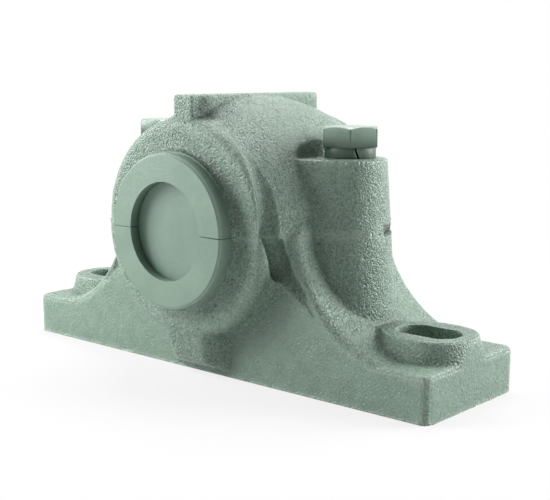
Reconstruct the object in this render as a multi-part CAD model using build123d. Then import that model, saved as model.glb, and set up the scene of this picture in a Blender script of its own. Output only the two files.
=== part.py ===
from build123d import *
import math
import os

# Split plummer block: a cast housing in two halves, bolted together round a double-row
# self-aligning ball bearing that an adapter sleeve clamps to a plain shaft.
# Millimetres. +X runs along the foot, +Y along the shaft, +Z up. The origin is the middle
# of the foot's underside. The closed end of the housing faces -Y and the open one +Y.

# --- Foot ---------------------------------------------------------------------------
FOOT_LENGTH = 255.0
FOOT_WIDTH = 70.0
FOOT_HEIGHT = 21.0
FOOT_CORNER_RADIUS = 4.5
FOOT_EDGE_RADIUS = 2.5
SLOT_END_MARGIN = 22.5
SLOT_LENGTH = 30.0
SLOT_WIDTH = 18.0
BOSS_TOP = 30.0
BOSS_RIM = 10.0
BOSS_END_RIM = 7.0
BOSS_FLARE = 3.0
RELIEF_DEPTH = 26.0
RELIEF_WALL = 9.0
RELIEF_INNER_X = 42.0
RELIEF_OUTER_X = 82.0
RELIEF_CORNER_RADIUS = 6.0
RELIEF_DRAFT = 3.0

# --- Flanks of the base that sweep from the foot up to the split -----------------------
FLANK_RADIUS = 57.0
FLANK_TOE_INSET = 12.5
FLANK_TOE_SINK = 0.6
FLANK_EDGE_RADIUS = 5.0

# --- Shaft axis and bearing chamber --------------------------------------------------
CENTRE_HEIGHT = 70.0
CROWN_RADIUS = 61.0
SHOULDER_RADIUS = 51.0
SHOULDER_ROUND = 5.5
SHOULDER_DEPTH = 9.5
SHOULDER_ROOT_RISE = 1.0
SHOULDER_ROOT_FILLET = 6.0
CHAMBER_RADIUS = 41.0
CHAMBER_END_WALL = 9.5
CHAMBER_DRAFT = 2.0

# --- Scooped valleys between the shoulder ring and the cheeks of the cap ---------------
SCOOP_RING_RADIUS = 51.0
SCOOP_RADIUS = 4.8
SCOOP_RISE = 8.0
SCOOP_SETBACK = 5.3
RUNOUT_BEND_X = 50.5
RUNOUT_BEND_DROP = 15.0
RUNOUT_BEND_PROUD = 1.5
RUNOUT_END_X = 74.0
RUNOUT_END_DROP = 38.0
RUNOUT_END_PROUD = 1.0
RUNOUT_END_RADIUS = 1.0
CHEEK_RISE = 25.0
CHEEK_TOP_X = 52.0
CHEEK_TOP_Y = 22.0

# --- Seal collars ---------------------------------------------------------------------
COLLAR_RADIUS = 35.5
COLLAR_HALF_LENGTH = 58.8
COLLAR_PROUD = 9.3
COLLAR_TURNED_LENGTH = 6.0
COLLAR_CAST_RISE = 0.8
COLLAR_CHAMFER = 1.0
COLLAR_FILLET = 2.5
COLLAR_BORE_RADIUS = 22.75
GROOVE_DEPTH = 5.6
GROOVE_MOUTH = 9.0
GROOVE_FLOOR = 7.0
GROOVE_INSET = 5.2
PEDESTAL_TOP = 42.0
PEDESTAL_TOE = 6.0
PEDESTAL_TOP_SETBACK = 5.3
PEDESTAL_TOE_SETBACK = 14.6
PEDESTAL_FACE_HALF_TOP = 17.5
PEDESTAL_FACE_HALF_TOE = 9.5
PEDESTAL_ROOT_HALF = 23.0
PEDESTAL_ROOT_TOE = 1.5
PEDESTAL_ROUND = 4.0

# --- Cap bolts and the pillars that carry them -----------------------------------------
BOLT_X = 60.5
BOLT_SEAT_Z = 103.4
BOLT_RADIUS = 8.0
BOLT_LENGTH = 60.0
BOLT_TIP_CHAMFER = 1.2
BOLT_HOLE_CLEARANCE = 0.5
BOLT_THREAD_CLEARANCE = 0.05
BOLT_HOLE_SPARE = 5.0
HEAD_ACROSS_FLATS = 24.0
HEAD_HEIGHT = 9.0
HEAD_CHAMFER_ANGLE = 30.0
HEAD_TURN = 7.4
PILLAR_TOP_RADIUS = 17.0
PILLAR_FOOT_RADIUS = 23.3
WEB_INNER_X = 40.0
WEB_INNER_HALF = 26.0
WEB_TOP_X = 66.0
WEB_TOP_HALF = 16.5
WEB_FOOT_X = 70.5
WEB_FOOT_HALF = 22.0
WEB_DRAFT = 3.0
WEB_EDGE_RADIUS = 3.0
SEAT_INNER_X = 45.0
SEAT_HALF_DEPTH = 24.0
SEAT_CORNER_RADIUS = 8.0
PRY_NOTCH_DEPTH = 2.5
PRY_NOTCH_HEIGHT = 2.5
PRY_NOTCH_HALF_WIDTH = 10.0
PRY_NOTCH_TURN = 35.0

# --- Spring washers ----------------------------------------------------------------------
WASHER_OUTER_RADIUS = 12.2
WASHER_THICKNESS = 5.0
WASHER_BORE_CLEARANCE = 0.3
WASHER_GAP = 0.8
WASHER_GAP_SLANT = 20.0
WASHER_GAP_ANGLE = -38.0

# --- Rib over the top of the cap ----------------------------------------------------------
RIB_HALF_WIDTH = 6.5
RIB_TOP = 131.6
RIB_FRONT_SETBACK = 3.1
RIB_REAR_SETBACK = 5.7
RIB_EDGE_RADIUS = 1.5

# --- Dowel pins ---------------------------------------------------------------------------
DOWEL_RADIUS = 3.0
DOWEL_LENGTH = 24.0
DOWEL_X = 49.5
DOWEL_Y = 27.0
DOWEL_CHAMFER = 0.5
DOWEL_CLEARANCE = 0.03
DOWEL_END_SPARE = 0.5

# --- Bearing ------------------------------------------------------------------------------
BEARING_OUTER_RADIUS = 50.0
BEARING_WIDTH = 36.0
BEARING_BORE_RADIUS = 22.5
BEARING_CHAMFER = 1.5
BORE_TAPER = 1.0 / 12.0
SEAT_CLEARANCE = 0.03
BALL_COUNT = 13
BALL_RADIUS = 7.2
BALL_PITCH_RADIUS = 36.5
BALL_ROW_Y = 8.2
RACE_CLEARANCE = 0.15
INNER_LAND_RADIUS = 32.5
CAGE_THICKNESS = 3.4
CAGE_HALF_WIDTH = 14.0
CAGE_POCKET_CLEARANCE = 0.25

# --- Locating rings -----------------------------------------------------------------------
LOCATING_RING_THICKNESS = 4.0
LOCATING_RING_INNER_RADIUS = 43.5
LOCATING_RING_PLAY = 0.05
LOCATING_RING_GAP_ANGLE = 40.0

# --- Adapter sleeve, lock nut and lock washer ----------------------------------------------
SHAFT_RADIUS = 20.0
SLEEVE_LENGTH = 50.0
SLEEVE_OVERHANG = 2.5
SLEEVE_SLIT = 3.0
THREAD_RADIUS = 22.2
NUT_RADIUS = 32.5
NUT_THICKNESS = 11.0
NUT_THREAD_CLEARANCE = 0.05
NUT_CHAMFER = 1.5
NUT_SLOT_COUNT = 4
NUT_SLOT_WIDTH = 6.0
NUT_SLOT_DEPTH = 3.0
LOCK_WASHER_THICKNESS = 1.25
LOCK_WASHER_BODY_RADIUS = 28.0
LOCK_WASHER_TAB_RADIUS = 33.5
LOCK_WASHER_TAB_COUNT = 11
LOCK_WASHER_TAB_WIDTH = 5.5
LOCK_WASHER_BORE_CLEARANCE = 0.2

# --- End plug and felt strips ---------------------------------------------------------------
PLUG_CLEARANCE = 0.15
FELT_CLEARANCE = 0.1
FELT_SHAFT_GAP = 0.3
FELT_END_GAP = 0.05

# --- How far a cutting form runs past the face that it cuts, or a joined one into its carrier ----
OVERRUN = 1.0

# --- Values that follow from the ones above ---------------------------------------------------
SLOT_SPACING = FOOT_LENGTH - 2 * SLOT_END_MARGIN
FLANK_TOE_X = FOOT_LENGTH / 2 - FLANK_TOE_INSET
COLLAR_CAST_RADIUS = COLLAR_RADIUS + COLLAR_CAST_RISE
COLLAR_CAST_Y = COLLAR_HALF_LENGTH - COLLAR_TURNED_LENGTH
SHOULDER_FACE_Y = COLLAR_HALF_LENGTH - COLLAR_PROUD
SHOULDER_ROOT_Y = SHOULDER_FACE_Y - SHOULDER_DEPTH
CHAMBER_HALF_WIDTH = SHOULDER_FACE_Y - CHAMBER_END_WALL
SCOOP_Y = SHOULDER_FACE_Y - SCOOP_SETBACK
RUNOUT_BEND = (RUNOUT_BEND_X, FOOT_WIDTH / 2 + RUNOUT_BEND_PROUD, CENTRE_HEIGHT - RUNOUT_BEND_DROP)
RUNOUT_END = (RUNOUT_END_X, FOOT_WIDTH / 2 + RUNOUT_END_PROUD, CENTRE_HEIGHT - RUNOUT_END_DROP)
PEDESTAL_TOP_REACH = COLLAR_HALF_LENGTH - PEDESTAL_TOP_SETBACK
PEDESTAL_TOE_REACH = COLLAR_HALF_LENGTH - PEDESTAL_TOE_SETBACK
RIB_FRONT_Y = RIB_FRONT_SETBACK - SHOULDER_FACE_Y
RIB_REAR_Y = SHOULDER_FACE_Y - RIB_REAR_SETBACK
SEAT_RADIUS = BEARING_OUTER_RADIUS + SEAT_CLEARANCE
SEAT_HALF_WIDTH = BEARING_WIDTH / 2 + LOCATING_RING_THICKNESS + LOCATING_RING_PLAY
BALL_SPHERE_RADIUS = math.hypot(BALL_PITCH_RADIUS, BALL_ROW_Y)
RACE_SPHERE_RADIUS = BALL_SPHERE_RADIUS + BALL_RADIUS + RACE_CLEARANCE
GROOVE_RADIUS = COLLAR_BORE_RADIUS + GROOVE_DEPTH
GROOVE_Y = COLLAR_HALF_LENGTH - GROOVE_INSET - GROOVE_MOUTH / 2
PILLAR_SPLIT_RADIUS = PILLAR_TOP_RADIUS + (PILLAR_FOOT_RADIUS - PILLAR_TOP_RADIUS) * (
    BOLT_SEAT_Z - CENTRE_HEIGHT) / (BOLT_SEAT_Z - FOOT_HEIGHT / 2)
BOLT_SHOULDER_Z = BOLT_SEAT_Z + WASHER_THICKNESS
BOLT_TIP_Z = BOLT_SHOULDER_Z - BOLT_LENGTH
SLEEVE_REAR_Y = BEARING_WIDTH / 2 + SLEEVE_OVERHANG
SLEEVE_FRONT_Y = SLEEVE_REAR_Y - SLEEVE_LENGTH
LOCK_WASHER_FRONT_Y = -BEARING_WIDTH / 2 - LOCK_WASHER_THICKNESS
NUT_FRONT_Y = LOCK_WASHER_FRONT_Y - NUT_THICKNESS
TALL = 2 * (CENTRE_HEIGHT + CROWN_RADIUS)

SHAFT_AXIS = Axis((0, 0, CENTRE_HEIGHT), (0, 1, 0))


def turned(points):
    """A solid turned about the shaft axis from a closed outline of (radius, y) points."""
    outline = Polyline(*[(radius, y, CENTRE_HEIGHT) for radius, y in points], close=True)
    return revolve(make_face(outline), SHAFT_AXIS, 360)


def circles_of(solid, radius, y):
    """The circular edges of a turned solid that have this radius and lie at this y."""
    found = solid.edges().filter_by(GeomType.CIRCLE)
    return [e for e in found if abs(e.radius - radius) < 0.01 and abs(e.center().Y - y) < 0.01]


def both_ends(solid, radius, y):
    """The matching circular edges at both ends of a turned solid."""
    return circles_of(solid, radius, y) + circles_of(solid, radius, -y)


def mirrored_points(front):
    """Close a turned outline: the front half given, then the same points behind."""
    return front + [(radius, -y) for radius, y in reversed(front)]


def upper(solid):
    """What lies above the split."""
    return solid & Pos(0, 0, CENTRE_HEIGHT) * Box(2 * FOOT_LENGTH, 2 * FOOT_LENGTH, TALL, align=SIT)


def lower(solid):
    """What lies below the split."""
    return solid & Pos(0, 0, CENTRE_HEIGHT) * Box(2 * FOOT_LENGTH, 2 * FOOT_LENGTH, TALL, align=HANG)


SIT = (Align.CENTER, Align.CENTER, Align.MIN)
HANG = (Align.CENTER, Align.CENTER, Align.MAX)


# --- Housing: forms that both halves share ---------------------------------------------------

def chamber_envelope():
    """Barrel-shaped crown, shoulder rings and seal collars, turned about the shaft axis."""
    root_radius = SHOULDER_RADIUS + SHOULDER_ROOT_RISE
    profile = [
        (0, COLLAR_HALF_LENGTH),
        (COLLAR_RADIUS, COLLAR_HALF_LENGTH),
        (COLLAR_RADIUS, COLLAR_CAST_Y),
        (COLLAR_CAST_RADIUS, COLLAR_CAST_Y),
        (COLLAR_CAST_RADIUS, SHOULDER_FACE_Y),
        (SHOULDER_RADIUS, SHOULDER_FACE_Y),
        (root_radius, SHOULDER_ROOT_Y),
    ]
    front = [(radius, -y, CENTRE_HEIGHT) for radius, y in profile]
    rear = [(radius, y, CENTRE_HEIGHT) for radius, y in profile]
    outline = [
        Polyline(*front),
        ThreePointArc(front[-1], (CROWN_RADIUS, 0, CENTRE_HEIGHT), rear[-1]),
        Polyline(*rear),
        Line(rear[0], front[0]),
    ]
    body = revolve(make_face(Curve() + outline), SHAFT_AXIS, 360)
    body = fillet(both_ends(body, root_radius, SHOULDER_ROOT_Y), SHOULDER_ROOT_FILLET)
    body = fillet(both_ends(body, SHOULDER_RADIUS, SHOULDER_FACE_Y), SHOULDER_ROUND)
    body = fillet(both_ends(body, COLLAR_CAST_RADIUS, SHOULDER_FACE_Y), COLLAR_FILLET)
    return chamfer(both_ends(body, COLLAR_RADIUS, COLLAR_HALF_LENGTH), COLLAR_CHAMFER)


def chamber_cavity():
    """Bearing seat, grease spaces, collar bores and seal grooves, as the space they leave."""
    deep = CHAMBER_RADIUS - CHAMBER_DRAFT
    cut_end = COLLAR_HALF_LENGTH + OVERRUN
    mouth = GROOVE_MOUTH / 2
    floor = GROOVE_FLOOR / 2
    front = [
        (0, -cut_end),
        (COLLAR_BORE_RADIUS, -cut_end),
        (COLLAR_BORE_RADIUS, -GROOVE_Y - mouth),
        (GROOVE_RADIUS, -GROOVE_Y - floor),
        (GROOVE_RADIUS, -GROOVE_Y + floor),
        (COLLAR_BORE_RADIUS, -GROOVE_Y + mouth),
        (COLLAR_BORE_RADIUS, -CHAMBER_HALF_WIDTH),
        (deep, -CHAMBER_HALF_WIDTH),
        (CHAMBER_RADIUS, -SEAT_HALF_WIDTH),
        (SEAT_RADIUS, -SEAT_HALF_WIDTH),
    ]
    return turned(mirrored_points(front))


def web_section(z, inner_half, outer_x, outer_half):
    """Plan of both webs at a height: widest at the chamber, narrowing towards the pillars."""
    outline = Polyline(
        (-outer_x, outer_half),
        (-WEB_INNER_X, inner_half),
        (WEB_INNER_X, inner_half),
        (outer_x, outer_half),
        (outer_x, -outer_half),
        (WEB_INNER_X, -inner_half),
        (-WEB_INNER_X, -inner_half),
        (-outer_x, -outer_half),
        close=True)
    return Pos(0, 0, z) * make_face(outline)


def pillars():
    """Drafted round pillars round the cap bolts, tied to the chamber by tapering webs."""
    foot_z = FOOT_HEIGHT / 2
    lowest = web_section(foot_z, WEB_INNER_HALF + WEB_DRAFT, WEB_FOOT_X, WEB_FOOT_HALF)
    highest = web_section(BOLT_SEAT_Z, WEB_INNER_HALF, WEB_TOP_X, WEB_TOP_HALF)
    webs = loft([lowest, highest])
    upright = [e for e in webs.edges() if abs(e.tangent_at(0.5).Z) > 0.5]
    outer_edges = [e for e in upright if abs(e.center().X) > (WEB_INNER_X + WEB_TOP_X) / 2]
    body = fillet(outer_edges, WEB_EDGE_RADIUS)
    for side in (-1, 1):
        body += Pos(side * BOLT_X, 0, foot_z) * Cone(
            PILLAR_FOOT_RADIUS, PILLAR_TOP_RADIUS, BOLT_SEAT_Z - foot_z, align=SIT)
    return body


def scoops():
    """Rings of space that hollow the sides between shoulder and cheek, and spare the top."""
    ring = Rot(90, 0, 0) * Torus(SCOOP_RING_RADIUS, SCOOP_RADIUS)
    spots = [Pos(0, end * SCOOP_Y, CENTRE_HEIGHT + SCOOP_RISE) for end in (-1, 1)]
    cut = [spot * ring for spot in spots]
    return upper(cut[0]) + upper(cut[1])


def tapered_rod(start, finish, start_radius, finish_radius):
    """Round rod between two points, thicker at one end than at the other."""
    along = Vector(*finish) - Vector(*start)
    stand = Plane(origin=start, z_dir=along)
    if start_radius == finish_radius:
        return stand * Cylinder(start_radius, along.length, align=SIT)
    return stand * Cone(start_radius, finish_radius, along.length, align=SIT)


def scoop_runouts():
    """Grooves that lead the four ends of the scoops down the flanks and fade out there."""
    start_x = math.sqrt(SCOOP_RING_RADIUS ** 2 - SCOOP_RISE ** 2)
    start = (start_x, SCOOP_Y, CENTRE_HEIGHT + SCOOP_RISE / 2)
    groove = tapered_rod(start, RUNOUT_BEND, SCOOP_RADIUS, SCOOP_RADIUS)
    groove += Pos(*RUNOUT_BEND) * Sphere(SCOOP_RADIUS)
    groove += tapered_rod(RUNOUT_BEND, RUNOUT_END, SCOOP_RADIUS, RUNOUT_END_RADIUS)
    pair = lower(groove) + mirror(lower(groove), about=Plane.YZ)
    return pair + mirror(pair, about=Plane.XZ)


def dowel_spots():
    """The two dowels stand on a diagonal, so that the cap goes on one way round."""
    return {"left": (-DOWEL_X, DOWEL_Y), "right": (DOWEL_X, -DOWEL_Y)}


def dowel_holes():
    depth = DOWEL_LENGTH / 2 + DOWEL_END_SPARE
    holes = Part()
    for x, y in dowel_spots().values():
        holes += Pos(x, y, CENTRE_HEIGHT) * Cylinder(DOWEL_RADIUS + DOWEL_CLEARANCE, 2 * depth)
    return holes


# --- Housing base ------------------------------------------------------------------------

def foot():
    plate = extrude(RectangleRounded(FOOT_LENGTH, FOOT_WIDTH, FOOT_CORNER_RADIUS), FOOT_HEIGHT)
    plate = fillet(plate.faces().sort_by(Axis.Z)[-1].edges(), FOOT_EDGE_RADIUS)
    return plate


def flank_half_width(z):
    """Half the length of the swept body at a height."""
    centre_z = FOOT_HEIGHT + FLANK_RADIUS - FLANK_TOE_SINK
    return FLANK_TOE_X - math.sqrt(FLANK_RADIUS ** 2 - (centre_z - z) ** 2)


def flanks():
    """The base's body: full foot width, with hollow flanks that rise to the split."""
    toe_z = FOOT_HEIGHT - FLANK_TOE_SINK
    middle_z = (toe_z + CENTRE_HEIGHT) / 2
    top_x = flank_half_width(CENTRE_HEIGHT)
    middle_x = flank_half_width(middle_z)
    outline = [
        Line((-FLANK_TOE_X, FOOT_EDGE_RADIUS), (FLANK_TOE_X, FOOT_EDGE_RADIUS)),
        Line((FLANK_TOE_X, FOOT_EDGE_RADIUS), (FLANK_TOE_X, toe_z)),
        ThreePointArc((FLANK_TOE_X, toe_z), (middle_x, middle_z), (top_x, CENTRE_HEIGHT)),
        Line((top_x, CENTRE_HEIGHT), (-top_x, CENTRE_HEIGHT)),
        ThreePointArc((-top_x, CENTRE_HEIGHT), (-middle_x, middle_z), (-FLANK_TOE_X, toe_z)),
        Line((-FLANK_TOE_X, toe_z), (-FLANK_TOE_X, FOOT_EDGE_RADIUS)),
    ]
    section = Plane.XZ * make_face(Curve() + outline)
    body = extrude(section, FOOT_WIDTH / 2, both=True)
    swept_edges = body.edges().filter_by(GeomType.CIRCLE)
    return fillet(swept_edges, FLANK_EDGE_RADIUS)


def slot_boss(side):
    """Raised obround pad round a foot slot, flared at its foot and cut off at the end."""
    top_length = SLOT_LENGTH + 2 * BOSS_END_RIM
    top_width = SLOT_WIDTH + 2 * BOSS_RIM
    sink = FOOT_HEIGHT - FOOT_EDGE_RADIUS
    x = side * SLOT_SPACING / 2
    lowest = Pos(x, 0, sink) * SlotOverall(top_length + 2 * BOSS_FLARE, top_width + 2 * BOSS_FLARE)
    highest = Pos(x, 0, BOSS_TOP) * SlotOverall(top_length, top_width)
    boss = loft([lowest, highest])
    limit = extrude(RectangleRounded(FOOT_LENGTH, FOOT_WIDTH, FOOT_CORNER_RADIUS), BOSS_TOP)
    return boss & limit


def pedestal(end):
    """Prop with sloping sides that carries a seal collar on the foot."""
    root_y = end * (FOOT_WIDTH / 2 - FLANK_EDGE_RADIUS)
    root = Polyline(
        (-PEDESTAL_ROOT_HALF, root_y, PEDESTAL_ROOT_TOE),
        (PEDESTAL_ROOT_HALF, root_y, PEDESTAL_ROOT_TOE),
        (PEDESTAL_ROOT_HALF, root_y, PEDESTAL_TOP),
        (-PEDESTAL_ROOT_HALF, root_y, PEDESTAL_TOP),
        close=True)
    face = Polyline(
        (-PEDESTAL_FACE_HALF_TOE, end * PEDESTAL_TOE_REACH, PEDESTAL_TOE),
        (PEDESTAL_FACE_HALF_TOE, end * PEDESTAL_TOE_REACH, PEDESTAL_TOE),
        (PEDESTAL_FACE_HALF_TOP, end * PEDESTAL_TOP_REACH, PEDESTAL_TOP),
        (-PEDESTAL_FACE_HALF_TOP, end * PEDESTAL_TOP_REACH, PEDESTAL_TOP),
        close=True)
    prop = loft([make_face(root), make_face(face)], ruled=True)
    front_face = prop.faces().sort_by(Axis.Y)[0 if end < 0 else -1]
    lowered = front_face.edges().sort_by(Axis.Z)[:3]
    return fillet(lowered, PEDESTAL_ROUND)


def foot_reliefs():
    """Cored and drafted pockets in the underside, beneath the pillars."""
    length = RELIEF_OUTER_X - RELIEF_INNER_X
    width = FOOT_WIDTH - 2 * RELIEF_WALL
    mouth = RectangleRounded(length, width, RELIEF_CORNER_RADIUS)
    ceiling = RectangleRounded(
        length - 2 * RELIEF_DRAFT, width - 2 * RELIEF_DRAFT, RELIEF_CORNER_RADIUS - RELIEF_DRAFT)
    pocket = loft([mouth, Pos(0, 0, RELIEF_DEPTH) * ceiling])
    middle_x = (RELIEF_INNER_X + RELIEF_OUTER_X) / 2
    return Pos(-middle_x, 0, 0) * pocket + Pos(middle_x, 0, 0) * pocket


def housing_base():
    body = foot() + flanks() + lower(chamber_envelope()) + lower(pillars())
    body -= scoop_runouts()
    for side in (-1, 1):
        body += slot_boss(side)
    for end in (-1, 1):
        body += pedestal(end)
    body -= lower(chamber_cavity())
    body -= dowel_holes()
    body -= foot_reliefs()
    hole_bottom = BOLT_TIP_Z - BOLT_HOLE_SPARE
    for side in (-1, 1):
        slot = extrude(SlotOverall(SLOT_LENGTH, SLOT_WIDTH), BOSS_TOP + OVERRUN)
        body -= Pos(side * SLOT_SPACING / 2, 0, 0) * slot
        tapped = Cylinder(BOLT_RADIUS + BOLT_THREAD_CLEARANCE, CENTRE_HEIGHT - hole_bottom, align=SIT)
        body -= Pos(side * BOLT_X, 0, hole_bottom) * tapped
    return body


# --- Housing cap ---------------------------------------------------------------------------

def cap_rib():
    """Narrow rib over the crown, from the front shoulder to the rear valley."""
    rib_floor = CENTRE_HEIGHT + SHOULDER_RADIUS - SHOULDER_ROUND
    bar = Pos(0, (RIB_FRONT_Y + RIB_REAR_Y) / 2, rib_floor) * Box(
        2 * RIB_HALF_WIDTH, RIB_REAR_Y - RIB_FRONT_Y, RIB_TOP - rib_floor, align=SIT)
    top_edges = bar.faces().sort_by(Axis.Z)[-1].edges()
    return fillet(top_edges + bar.edges().filter_by(Axis.Z), RIB_EDGE_RADIUS)


def cheeks():
    """Cast flesh that carries the base's outline at the split up into the sides of the cap."""
    split_x = flank_half_width(CENTRE_HEIGHT)
    low = RectangleRounded(2 * split_x, FOOT_WIDTH, FLANK_EDGE_RADIUS)
    high = RectangleRounded(2 * CHEEK_TOP_X, 2 * CHEEK_TOP_Y, FLANK_EDGE_RADIUS)
    return loft([Pos(0, 0, CENTRE_HEIGHT) * low, Pos(0, 0, CENTRE_HEIGHT + CHEEK_RISE) * high])


def bolt_seat_step(side):
    """Space of the flat step that the bolt head and its washer stand on."""
    length = FOOT_LENGTH
    middle_x = SEAT_INNER_X + length / 2
    plan = RectangleRounded(length, 2 * SEAT_HALF_DEPTH, SEAT_CORNER_RADIUS)
    return Pos(side * middle_x, 0, BOLT_SEAT_Z) * extrude(plan, TALL)


def pry_notch(side):
    """Wedge-shaped notch at the split, where a lever starts the cap off its dowels."""
    inner = PILLAR_SPLIT_RADIUS - PRY_NOTCH_DEPTH
    outer = PILLAR_SPLIT_RADIUS + PRY_NOTCH_DEPTH
    section = Plane.XZ * make_face(Polyline(
        (inner, 0), (outer, 0), (outer, 2 * PRY_NOTCH_HEIGHT), close=True))
    wedge = extrude(section, PRY_NOTCH_HALF_WIDTH, both=True)
    turn = 90 - side * (90 - PRY_NOTCH_TURN)
    return Pos(side * BOLT_X, 0, CENTRE_HEIGHT) * Rot(0, 0, turn) * wedge


def housing_cap():
    body = upper(chamber_envelope()) + cheeks() - scoops() + upper(pillars()) + cap_rib()
    body -= upper(chamber_cavity())
    body -= dowel_holes()
    for side in (-1, 1):
        bolt_axis = Pos(side * BOLT_X, 0, BOLT_SEAT_Z)
        body -= bolt_seat_step(side)
        body -= bolt_axis * Cylinder(BOLT_RADIUS + BOLT_HOLE_CLEARANCE, TALL, align=HANG)
        body -= pry_notch(side)
    return body


# --- Fasteners ------------------------------------------------------------------------------

def cap_bolt(side):
    """Hexagon head bolt; its thread is left as the plain major diameter."""
    across_corners = HEAD_ACROSS_FLATS / math.cos(math.radians(30))
    hexagon = Rot(0, 0, HEAD_TURN) * RegularPolygon(across_corners / 2, 6)
    head = extrude(hexagon, HEAD_HEIGHT)
    rise = (across_corners - HEAD_ACROSS_FLATS) / 2 * math.tan(math.radians(HEAD_CHAMFER_ANGLE))
    crown = Cylinder(across_corners / 2, HEAD_HEIGHT - rise, align=SIT)
    crown += Pos(0, 0, HEAD_HEIGHT - rise) * Cone(
        across_corners / 2, HEAD_ACROSS_FLATS / 2, rise, align=SIT)
    shank = Cylinder(BOLT_RADIUS, BOLT_LENGTH, align=HANG)
    shank = chamfer(shank.edges().sort_by(Axis.Z)[0], BOLT_TIP_CHAMFER)
    return Pos(side * BOLT_X, 0, BOLT_SHOULDER_Z) * ((head & crown) + shank)


def spring_washer(side):
    """Split ring with a slanted gap, closed up flat under the bolt head."""
    ring = Cylinder(WASHER_OUTER_RADIUS, WASHER_THICKNESS, align=SIT)
    ring -= Cylinder(BOLT_RADIUS + WASHER_BORE_CLEARANCE, WASHER_THICKNESS, align=SIT)
    gap = Pos(WASHER_OUTER_RADIUS, 0, WASHER_THICKNESS / 2) * Rot(WASHER_GAP_SLANT, 0, 0) * Box(
        2 * WASHER_OUTER_RADIUS, WASHER_GAP, 2 * WASHER_THICKNESS)
    ring -= Rot(0, 0, WASHER_GAP_ANGLE) * gap
    return Pos(side * BOLT_X, 0, BOLT_SEAT_Z) * ring


def dowel_pin(x, y):
    pin = chamfer(Cylinder(DOWEL_RADIUS, DOWEL_LENGTH).edges().filter_by(GeomType.CIRCLE), DOWEL_CHAMFER)
    return Pos(x, y, CENTRE_HEIGHT) * pin


# --- Closures of the seal collars -------------------------------------------------------------

def groove_filling(inner_radius, clearance):
    """Ring whose rim fits the tapered seal groove, as an outline of (radius, y) points."""
    mouth = GROOVE_MOUTH / 2 - clearance
    floor = GROOVE_FLOOR / 2 - clearance
    rim = GROOVE_RADIUS - clearance
    return [(inner_radius, -mouth), (COLLAR_BORE_RADIUS, -mouth), (rim, -floor),
            (rim, floor), (COLLAR_BORE_RADIUS, mouth), (inner_radius, mouth)]


def end_plug():
    """Blind disc that closes the front collar."""
    outline = [(radius, y - GROOVE_Y) for radius, y in groove_filling(0, PLUG_CLEARANCE)]
    return turned(outline)


def felt_strip(above):
    """Half ring of felt pressed into one half of the rear collar's groove."""
    inner = SHAFT_RADIUS + FELT_SHAFT_GAP
    ring = turned([(radius, y + GROOVE_Y) for radius, y in groove_filling(inner, FELT_CLEARANCE)])
    shift = Pos(0, 0, FELT_END_GAP if above else -FELT_END_GAP)
    half = upper(ring) if above else lower(ring)
    return half & (shift * half)


# --- Bearing -----------------------------------------------------------------------------------

def outer_ring():
    half = BEARING_WIDTH / 2
    ring = turned([(0, -half), (BEARING_OUTER_RADIUS, -half), (BEARING_OUTER_RADIUS, half), (0, half)])
    ring = chamfer(both_ends(ring, BEARING_OUTER_RADIUS, half), BEARING_CHAMFER)
    return ring - Pos(0, 0, CENTRE_HEIGHT) * Sphere(RACE_SPHERE_RADIUS)


def taper_radius(y):
    """Radius of the bearing's tapered bore, which widens towards the rear."""
    return BEARING_BORE_RADIUS + (y + BEARING_WIDTH / 2) * BORE_TAPER / 2


def inner_ring():
    half = BEARING_WIDTH / 2
    ring = turned([
        (taper_radius(-half), -half),
        (INNER_LAND_RADIUS - BEARING_CHAMFER, -half),
        (INNER_LAND_RADIUS, -half + BEARING_CHAMFER),
        (INNER_LAND_RADIUS, half - BEARING_CHAMFER),
        (INNER_LAND_RADIUS - BEARING_CHAMFER, half),
        (taper_radius(half), half),
    ])
    for row_y in (-BALL_ROW_Y, BALL_ROW_Y):
        track = Rot(90, 0, 0) * Torus(BALL_PITCH_RADIUS, BALL_RADIUS + RACE_CLEARANCE)
        ring -= Pos(0, row_y, CENTRE_HEIGHT) * track
    return ring


def ball_centres(row):
    """Centres of one row of balls; the rear row is half a pitch on from the front one."""
    step = 360 / BALL_COUNT
    start = 90 if row == "front" else 90 + step / 2
    row_y = -BALL_ROW_Y if row == "front" else BALL_ROW_Y
    centres = []
    for index in range(BALL_COUNT):
        angle = math.radians(start + index * step)
        x = BALL_PITCH_RADIUS * math.cos(angle)
        z = CENTRE_HEIGHT + BALL_PITCH_RADIUS * math.sin(angle)
        centres.append((x, row_y, z))
    return centres


def cage():
    """One-piece cage whose prongs snap round the balls of both rows."""
    inner = BALL_PITCH_RADIUS - CAGE_THICKNESS / 2
    outer = BALL_PITCH_RADIUS + CAGE_THICKNESS / 2
    ring = turned([(inner, -CAGE_HALF_WIDTH), (outer, -CAGE_HALF_WIDTH),
                   (outer, CAGE_HALF_WIDTH), (inner, CAGE_HALF_WIDTH)])
    pocket = Cylinder(BALL_RADIUS + CAGE_POCKET_CLEARANCE, 2 * BALL_RADIUS)
    for row in ("front", "rear"):
        for x, y, z in ball_centres(row):
            ring -= Plane(origin=(x, y, z), z_dir=(x, 0, z - CENTRE_HEIGHT)) * pocket
    return ring


def locating_ring(end):
    """Open ring that fills the seat beside the outer ring and fixes the bearing endways."""
    near = BEARING_WIDTH / 2 + LOCATING_RING_PLAY / 2
    far = near + LOCATING_RING_THICKNESS
    ring = turned([(LOCATING_RING_INNER_RADIUS, end * near), (BEARING_OUTER_RADIUS, end * near),
                   (BEARING_OUTER_RADIUS, end * far), (LOCATING_RING_INNER_RADIUS, end * far)])
    half_gap = math.radians(LOCATING_RING_GAP_ANGLE / 2)
    reach = 2 * BEARING_OUTER_RADIUS
    wedge = make_face(Polyline((0, 0), (-reach * math.sin(half_gap), reach * math.cos(half_gap)),
                               (reach * math.sin(half_gap), reach * math.cos(half_gap)), close=True))
    gap = extrude(Plane.XZ * wedge, 2 * far, both=True)
    return ring - Pos(0, 0, CENTRE_HEIGHT) * gap


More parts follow.
